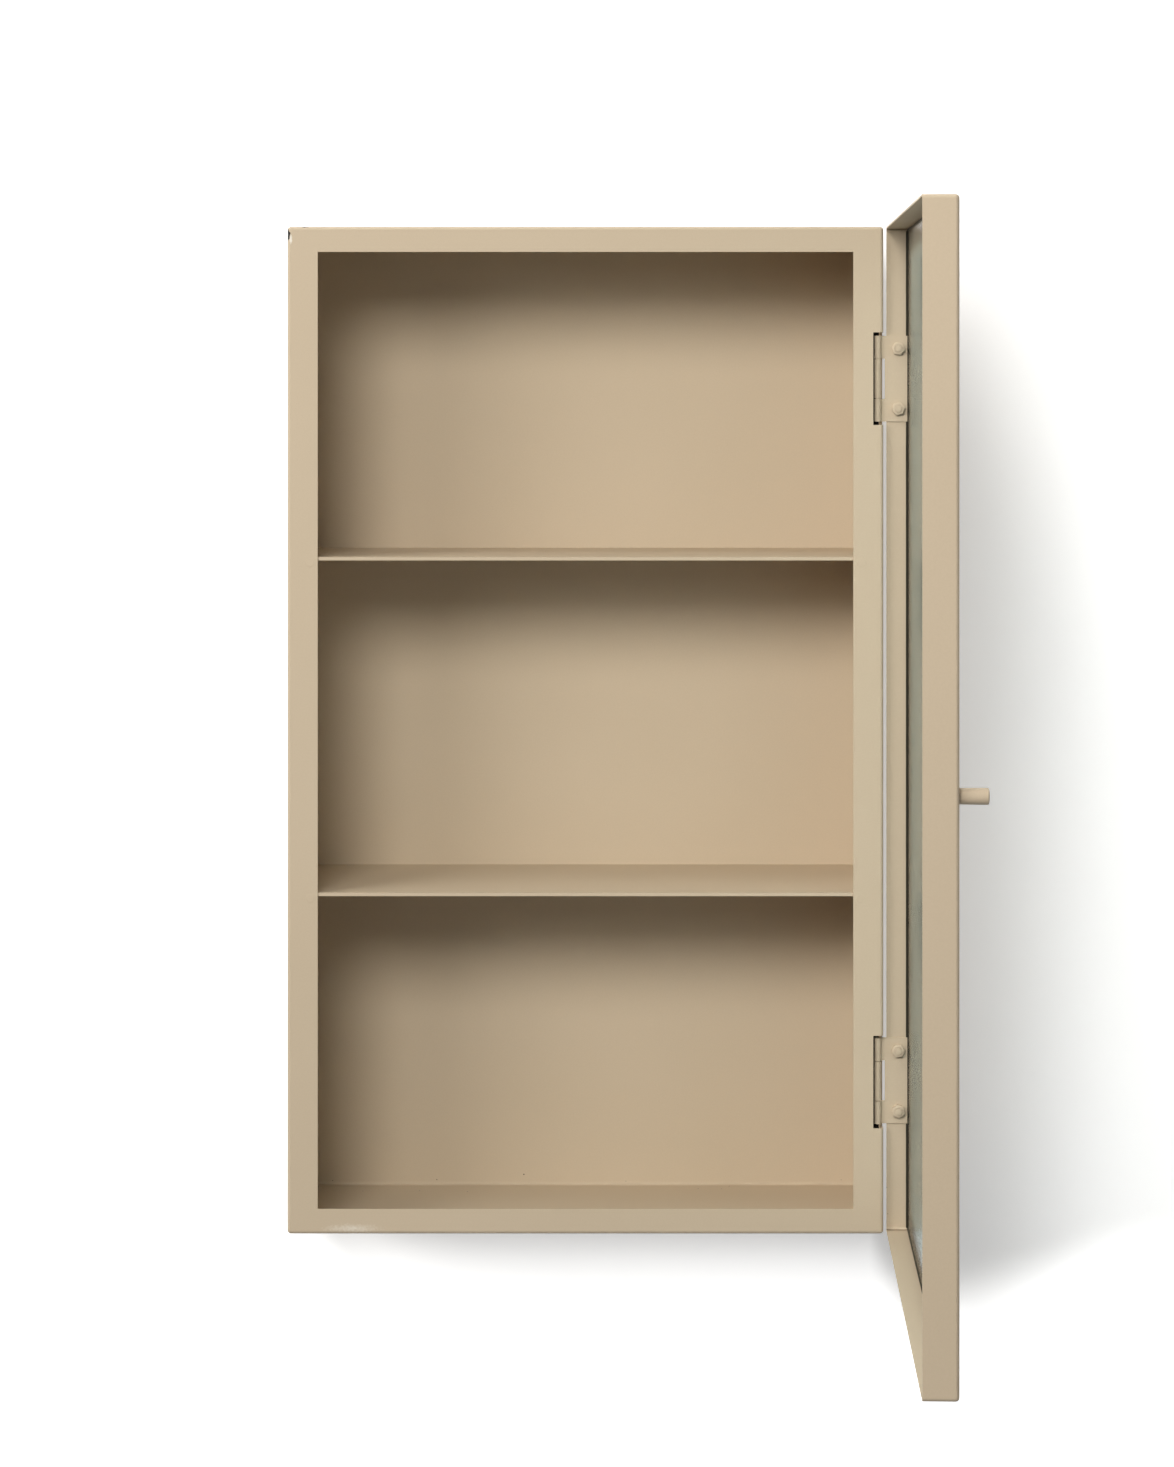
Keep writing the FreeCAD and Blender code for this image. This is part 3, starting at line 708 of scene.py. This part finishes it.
def hex_nut(flats, height, bore):
    """One hex nut along -X from the origin: corners rounded by the paint, a chamfered face and a bore."""
    along = {"location": (-height / 2, 0, 0), "rotation": (0, -math.pi / 2, 0)}
    rounding, face = 0.3 * MM, 0.42 * flats
    start_piece()
    bpy.ops.mesh.primitive_cylinder_add(vertices=6, radius=flats / math.sqrt(3), depth=height, **along)
    piece = settle(bpy.context.object)
    select_where(piece, "EDGE", lambda edge: runs_along_x(piece, edge, height / 2))
    bpy.ops.mesh.bevel(offset=rounding, segments=3)
    start_piece()
    # The corners are turned off at 30 degrees, down to a round face narrower than the flats.
    bpy.ops.mesh.primitive_cone_add(
        vertices=72, radius1=face + height * math.sqrt(3), radius2=face, depth=height, **along
    )
    cut_by(piece, settle(bpy.context.object), "INTERSECT")
    start_piece()
    bpy.ops.mesh.primitive_cylinder_add(vertices=40, radius=bore, depth=3 * height, **along)
    cut_by(piece, settle(bpy.context.object), "DIFFERENCE")
    start_piece()
    piece.select_set(True)
    bpy.ops.object.mode_set(mode="EDIT")
    bpy.ops.mesh.select_all(action="SELECT")
    bpy.ops.mesh.remove_doubles(threshold=NEAR)
    bpy.ops.mesh.dissolve_degenerate(threshold=NEAR)
    bpy.ops.object.mode_set(mode="OBJECT")
    return piece


def hinge_pocket(end, sheet):
    """A folded tray behind the knuckles of one hinge, open to the front and to the side sheet, put there
    dark as painted shade.
    """
    leaf_low, leaf_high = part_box(f"{end}_hinge_case_leaf")
    pin_low, pin_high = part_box(f"{end}_hinge_pin")
    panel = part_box("right_side_panel")[0]
    # How far it passes the leaf's inner face, stays inside its outer one, and clears the pin.
    inside, short, behind, over = 1.9 * MM, 1.1 * MM, 2.6 * MM, 3.2 * MM
    low = Vector((leaf_low.x - inside, panel.y + SHEET, pin_low.z - over))
    high = Vector((leaf_high.x - short, pin_high.y + behind, pin_high.z + over))
    start_piece()
    bpy.ops.mesh.primitive_cube_add(size=1, location=(low + high) / 2)
    tray = bpy.context.object
    tray.scale = high - low
    settle(tray)
    select_where(tray, "FACE", lambda face: face.normal.y < -0.9 or face.normal.x > 0.9)
    bpy.ops.mesh.delete(type="FACE")
    bpy.ops.object.mode_set(mode="OBJECT")
    wall = tray.modifiers.new("wall", "SOLIDIFY")
    wall.thickness = sheet
    wall.offset = -1
    bpy.ops.object.modifier_apply(modifier=wall.name)
    fold = tray.modifiers.new("fold", "BEVEL")
    fold.width = 0.25 * MM
    fold.segments = 2
    bpy.ops.object.modifier_apply(modifier=fold.name)
    return tray


class CABINET_OT_paint_case(bpy.types.Operator):
    """Coat the case's panels, shelves and hinge leaves"""

    bl_idname = "cabinet.paint_case"
    bl_label = "Paint the case"

    def execute(self, context):
        dress(CASE_PAINTED, shared_coat(context))
        return {"FINISHED"}


class CABINET_OT_paint_door(bpy.types.Operator):
    """Coat the door's stiles and rails, its knob and its hinge leaves"""

    bl_idname = "cabinet.paint_door"
    bl_label = "Paint the door"

    def execute(self, context):
        dress(DOOR_PAINTED, shared_coat(context))
        return {"FINISHED"}


class CABINET_OT_glaze_door(bpy.types.Operator):
    """Give the pane its glass and its bedding"""

    bl_idname = "cabinet.glaze_door"
    bl_label = "Glaze the door"

    def execute(self, context):
        dress(["glass_pane"], reeded_glass(context.scene.cabinet_paint))
        dress(["glass_bedding"], glazing_silicone())
        return {"FINISHED"}


class CABINET_OT_plate_hangers(bpy.types.Operator):
    """Give the wall hangers their zinc and the catch magnet its nickel"""

    bl_idname = "cabinet.plate_hangers"
    bl_label = "Plate the hangers and the magnet"

    def execute(self, context):
        # Zinc plate dries in dull and bright patches about 2 mm across.
        zinc = plated_metal("zinc_plated_steel", srgb("#c3c6c9"), srgb("#a9adb1"), 2.0, 0.32, 0.48)
        dress(HANGERS, zinc)
        # Barrel-plated nickel is warmer, finer and brighter.
        nickel = plated_metal("nickel_plate", srgb("#c9c3b6"), srgb("#b9b3a6"), 0.8, 0.2, 0.3)
        dress(["catch_magnet"], nickel)
        return {"FINISHED"}


class CABINET_OT_fill_seams(bpy.types.Operator):
    """Lay the filled beads along the top and bottom of the back panel"""

    bl_idname = "cabinet.fill_seams"
    bl_label = "Fill the back seams"

    def execute(self, context):
        details = context.scene.cabinet_details
        low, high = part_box("back_seams")
        legs = (details.bead_leg, details.bead_leg)
        beads = [
            corner_bead(high.x - low.x, legs, details.bead_wave, (0, high.y, corner), (0, -1, 0), (0, 0, up))
            for corner, up in ((low.z, 1), (high.z, -1))
        ]
        beads = join_pieces("back_seam_beads", beads)
        fit_piece(beads, shared_coat(context), "case", "beige_powder_coat", "back_seams")
        return {"FINISHED"}


class CABINET_OT_weld_door(bpy.types.Operator):
    """Weld the door frame's four inner corners"""

    bl_idname = "cabinet.weld_door"
    bl_label = "Weld the door corners"

    def execute(self, context):
        details = context.scene.cabinet_details
        low, high = closed_box("door_hinge_stile")
        left = closed_box("door_handle_stile")[0].x
        front = closed_box("glass_pane")[1].y
        legs = (details.weld_leg, details.weld_leg)
        welds = []
        for x, inward in ((left + SHEET, 1), (high.x - SHEET, -1)):
            for z, up in ((low.z + SHEET, 1), (high.z - SHEET, -1)):
                spot = (x, (front + high.y) / 2, z)
                welds.append(
                    corner_bead(high.y - front, legs, details.bead_wave, spot, (inward, 0, 0), (0, 0, up))
                )
        welds = join_pieces("door_corner_welds", welds)
        welds.data.transform(OPENED)
        fit_piece(welds, shared_coat(context), "door", "beige_powder_coat")
        return {"FINISHED"}


class CABINET_OT_seal_pane(bpy.types.Operator):
    """Run the silicone joint round the inner face of the pane"""

    bl_idname = "cabinet.seal_pane"
    bl_label = "Seal the pane"

    def execute(self, context):
        details = context.scene.cabinet_details
        low, high = closed_box("door_hinge_stile")
        left = closed_box("door_handle_stile")[0].x
        valley = closed_box("glass_pane")[1].y - REED_DEPTH
        wide, tall = high.x - left - 2 * SHEET, high.z - low.z - 2 * SHEET
        middle = (low.z + high.z) / 2
        # Across the reeds the joint is thinner, so that their crests stand through its foot.
        along, across = details.seal_rise, 0.7 * details.seal_rise
        runs = [
            (tall, along, (left + SHEET, valley, middle), (1, 0, 0)),
            (tall, along, (high.x - SHEET, valley, middle), (-1, 0, 0)),
            (wide, across, (0, valley, low.z + SHEET), (0, 0, 1)),
            (wide, across, (0, valley, high.z - SHEET), (0, 0, -1)),
        ]
        joints = [
            corner_bead(length, (details.seal_reach, rise), details.bead_wave, spot, reach, (0, 1, 0))
            for length, rise, spot, reach in runs
        ]
        joint = join_pieces("pane_joint", joints)
        joint.data.transform(OPENED)
        fit_piece(joint, glazing_silicone(), "door", "dark_silicone")
        return {"FINISHED"}


class CABINET_OT_line_notches(bpy.types.Operator):
    """Close the hinge notches behind the knuckles with folded pockets, dark with painted shade"""

    bl_idname = "cabinet.line_notches"
    bl_label = "Line the hinge notches"

    def execute(self, context):
        sheet = context.scene.cabinet_details.pocket_sheet
        pockets = join_pieces("hinge_shade_pockets", [hinge_pocket(end, sheet) for end in ("upper", "lower")])
        # The pockets take the near-black painted shade, so the notches read black.
        fit_piece(pockets, pocket_shade_coat(context.scene.cabinet_paint), "case", "beige_powder_coat")
        return {"FINISHED"}


class CABINET_OT_weld_shelves(bpy.types.Operator):
    """Set the plug welds that hold the shelves into the side returns"""

    bl_idname = "cabinet.weld_shelves"
    bl_label = "Weld the shelves"

    def execute(self, context):
        low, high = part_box("shelf_plug_welds")
        middle = (low.y + high.y) / 2
        first = weld_mark()
        spots = [
            Vector((x, middle, z))
            for x in (low.x + WELD_RADIUS, high.x - WELD_RADIUS)
            for z in (low.z + WELD_RADIUS, high.z - WELD_RADIUS)
        ]
        marks = [copy_piece(first, Matrix.Translation(spot)) for spot in spots]
        bpy.data.objects.remove(first)
        marks = join_pieces("shelf_weld_marks", marks)
        fit_piece(marks, shared_coat(context), "case", "beige_powder_coat", "shelf_plug_welds")
        return {"FINISHED"}


class CABINET_OT_set_studs(bpy.types.Operator):
    """Set the threaded studs that carry the hinge leaves, and their nuts"""

    bl_idname = "cabinet.set_studs"
    bl_label = "Set the hinge studs and nuts"

    def execute(self, context):
        details = context.scene.cabinet_details
        low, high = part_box("case_hinge_studs")
        face_low, face_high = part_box("case_hinge_nuts")
        reach = (low.y + high.y) / 2 - HINGE["pos_m"][1]
        one_stud = stud(details.stud_radius, high.x - low.x)
        flats, thread_gap = face_high.y - face_low.y, 0.15 * MM
        one_nut = hex_nut(flats, face_high.x - face_low.x, details.stud_radius + thread_gap)
        for body, side, place in (("case", 1, Matrix()), ("door", -1, OPENED)):
            studs, nuts = [], []
            # Tightened by hand, no two nuts stand alike.
            for end, turns in (("upper", (-13, 9)), ("lower", (21, -6))):
                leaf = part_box(f"{end}_hinge_case_leaf")
                centre = (leaf[0].z + leaf[1].z) / 2
                for sign, turn in zip((-1, 1), turns):
                    y = HINGE["pos_m"][1] + side * reach
                    z = centre + sign * details.stud_spacing / 2
                    studs.append(copy_piece(one_stud, place @ Matrix.Translation((high.x, y, z))))
                    spun = Matrix.Rotation(math.radians(turn), 4, "X")
                    nuts.append(copy_piece(one_nut, place @ Matrix.Translation((face_high.x, y, z)) @ spun))
            studs = join_pieces(f"{body}_stud_ends", studs)
            fit_piece(studs, shared_coat(context), body, "beige_powder_coat", f"{body}_hinge_studs")
            nuts = join_pieces(f"{body}_hex_nuts", nuts)
            fit_piece(nuts, shared_coat(context), body, "beige_powder_coat", f"{body}_hinge_nuts")
        bpy.data.objects.remove(one_stud)
        bpy.data.objects.remove(one_nut)
        return {"FINISHED"}


class CABINET_OT_stage(bpy.types.Operator):
    """Put up the wall, the lamps and the camera"""

    bl_idname = "cabinet.stage"
    bl_label = "Set the stage"

    def execute(self, context):
        settings = context.scene.cabinet_stage
        self.wall(settings)
        self.lamps(context.scene, settings)
        self.camera(context.scene, settings)
        context.scene.view_settings.view_transform = "Standard"
        return {"FINISHED"}

    def wall(self, settings):
        """A pale wall that takes the shadow, open to views from behind it."""
        start_piece()
        bpy.ops.mesh.primitive_plane_add(size=8, location=(0, 0.5 * MM, 0), rotation=(math.pi / 2, 0, 0))
        wall = settle(bpy.context.object)
        wall.name = "stage_wall"
        wall.visible_shadow = False
        material, tree, shader, place = new_material("matt_wall_paint")
        shader.inputs["Base Color"].default_value = tuple(settings.wall)
        shader.inputs["Roughness"].default_value = 0.9
        shader.inputs["Specular IOR Level"].default_value = 0.0
        shader.inputs["Emission Color"].default_value = (1, 1, 1, 1)
        axes = add_node(tree, "ShaderNodeSeparateXYZ", {0: place}).outputs
        out = add_node(tree, "ShaderNodeMath", {0: axes["X"]}, operation="ABSOLUTE").outputs[0]
        # Right of the open door, the painted light below the case starts further down.
        past = {"Value": axes["X"], "From Min": 0.18, "From Max": 0.2}
        drop = {"Value": axes["X"], "From Min": 0.36, "From Max": 0.21, "To Max": 0.035}
        lowered = {
            0: add_node(tree, "ShaderNodeMapRange", past).outputs["Result"],
            1: add_node(tree, "ShaderNodeMapRange", drop, interpolation_type="SMOOTHSTEP").outputs["Result"],
            2: axes["Z"],
        }
        height = add_node(tree, "ShaderNodeMath", lowered, operation="MULTIPLY_ADD").outputs[0]
        # Painted light: the wall glows all over, standing in for light thrown back by a floor and room that
        # are not built, and more below the case and right of the door, which fades the cast shadows there.
        # Further out, at both sides, the wall is plain white.
        painted_glow = 0.43
        for along, near, far, gain in (
            (height, -0.572, -0.614, 0.42),
            (axes["X"], 0.24, 0.35, 0.22),
            (out, 0.38, 0.9, 0.6),
        ):
            share = add_node(
                tree,
                "ShaderNodeMapRange",
                {"Value": along, "From Min": near, "From Max": far, "To Max": gain},
                interpolation_type="SMOOTHSTEP",
            ).outputs["Result"]
            painted_glow = add_node(tree, "ShaderNodeMath", {0: share, 1: painted_glow}, operation="ADD").outputs[0]
        lift = add_node(
            tree, "ShaderNodeMath", {0: looked_at(tree), 1: painted_glow}, operation="MULTIPLY"
        ).outputs[0]
        tree.links.new(lift, shader.inputs["Emission Strength"])
        behind = add_node(tree, "ShaderNodeNewGeometry").outputs["Backfacing"]
        clear = add_node(tree, "ShaderNodeBsdfTransparent")
        both = add_node(tree, "ShaderNodeMixShader", {0: behind, 1: shader.outputs[0], 2: clear.outputs[0]})
        tree.links.new(both.outputs[0], tree.nodes["Material Output"].inputs["Surface"])
        wall.data.materials.append(material)

    def lamps(self, scene, settings):
        """Soft lamps from the front, the left and high up, one from behind, and a little even light."""
        middle = Vector((0, -0.07, -0.22))
        # The low lamps leave no glare, so that the top stays beige where they graze it.
        for name, azimuth, elevation, distance, width, height, power, glare in (
            ("front", -11, 24, 2.6, 1.08, 0.91, settings.front_power, False),
            ("left", -44, 14, 3.0, 1.4, 0.85, settings.left_power, False),
            ("high", -60, 58, 4.0, 1.67, 1.27, settings.high_power, True),
            ("rear", 140, 28, 6.0, 3.7, 2.3, settings.rear_power, False),
        ):
            lamp = bpy.data.lights.new(name, "AREA")
            lamp.shape = "ELLIPSE"
            lamp.size = width
            lamp.size_y = height
            lamp.energy = power
            lamp.color = settings.lamp[:3]
            turn, rise = math.radians(azimuth), math.radians(elevation)
            aim = Vector((math.sin(turn) * math.cos(rise), -math.cos(turn) * math.cos(rise), math.sin(rise)))
            holder = bpy.data.objects.new(name, lamp)
            holder.location = middle + distance * aim
            holder.rotation_euler = (-aim).to_track_quat("-Z", "Y").to_euler()
            holder.visible_camera = False
            holder.visible_glossy = glare
            scene.collection.objects.link(holder)
        world = bpy.data.worlds.new("studio")
        world.use_nodes = True
        scene.world = world
        tree = world.node_tree
        # The room looks white, and sheds only a little light.
        strength = add_node(
            tree, "ShaderNodeMapRange", {"Value": looked_at(tree), "To Min": settings.ambient, "To Max": 1.0}
        ).outputs["Result"]
        background = tree.nodes["Background"]
        background.inputs["Color"].default_value = (1, 1, 1, 1)
        tree.links.new(strength, background.inputs["Strength"])

    def camera(self, scene, settings):
        """A level camera just below the cabinet's top, on a sensor turned upright and shifted down."""
        lens = bpy.data.cameras.new("view")
        lens.sensor_fit = "VERTICAL"
        lens.sensor_width = 24
        lens.sensor_height = 36
        lens.lens = 86.0
        lens.shift_y = -0.2333
        camera = bpy.data.objects.new("view", lens)
        aside, height = 0.9 * MM, -53 * MM
        camera.location = (aside, -settings.camera_distance, height)
        camera.rotation_euler = (math.pi / 2, 0, 0)
        scene.collection.objects.link(camera)
        scene.camera = camera


class CABINET_PT_sidebar(bpy.types.Panel):
    """The cabinet's finishing steps and settings"""

    bl_idname = "CABINET_PT_sidebar"
    bl_label = "Cabinet"
    bl_space_type = "VIEW_3D"
    bl_region_type = "UI"
    bl_category = "Cabinet"

    def draw(self, context):
        for settings in (
            context.scene.cabinet_paint,
            context.scene.cabinet_details,
            context.scene.cabinet_stage,
        ):
            for name in settings.__annotations__:
                self.layout.prop(settings, name)
        for step in STEPS:
            self.layout.operator(step.bl_idname)


STEPS = (
    CABINET_OT_paint_case,
    CABINET_OT_paint_door,
    CABINET_OT_glaze_door,
    CABINET_OT_plate_hangers,
    CABINET_OT_fill_seams,
    CABINET_OT_weld_shelves,
    CABINET_OT_weld_door,
    CABINET_OT_seal_pane,
    CABINET_OT_line_notches,
    CABINET_OT_set_studs,
    CABINET_OT_stage,
)
SETTINGS = {
    "cabinet_paint": CabinetPaint,
    "cabinet_details": CabinetDetails,
    "cabinet_stage": CabinetStage,
}


def register():
    for kind in (*SETTINGS.values(), *STEPS, CABINET_PT_sidebar):
        bpy.utils.register_class(kind)
    for name, kind in SETTINGS.items():
        setattr(bpy.types.Scene, name, PointerProperty(type=kind))


def unregister():
    for name in SETTINGS:
        delattr(bpy.types.Scene, name)
    for kind in (CABINET_PT_sidebar, *reversed(STEPS), *SETTINGS.values()):
        bpy.utils.unregister_class(kind)


def main():
    register()
    bpy.ops.cabinet.paint_case()
    bpy.ops.cabinet.paint_door()
    bpy.ops.cabinet.glaze_door()
    bpy.ops.cabinet.plate_hangers()
    bpy.ops.cabinet.fill_seams()
    bpy.ops.cabinet.weld_shelves()
    bpy.ops.cabinet.weld_door()
    bpy.ops.cabinet.seal_pane()
    bpy.ops.cabinet.line_notches()
    bpy.ops.cabinet.set_studs()
    bpy.ops.cabinet.stage()


if __name__ == "__main__":
    main()
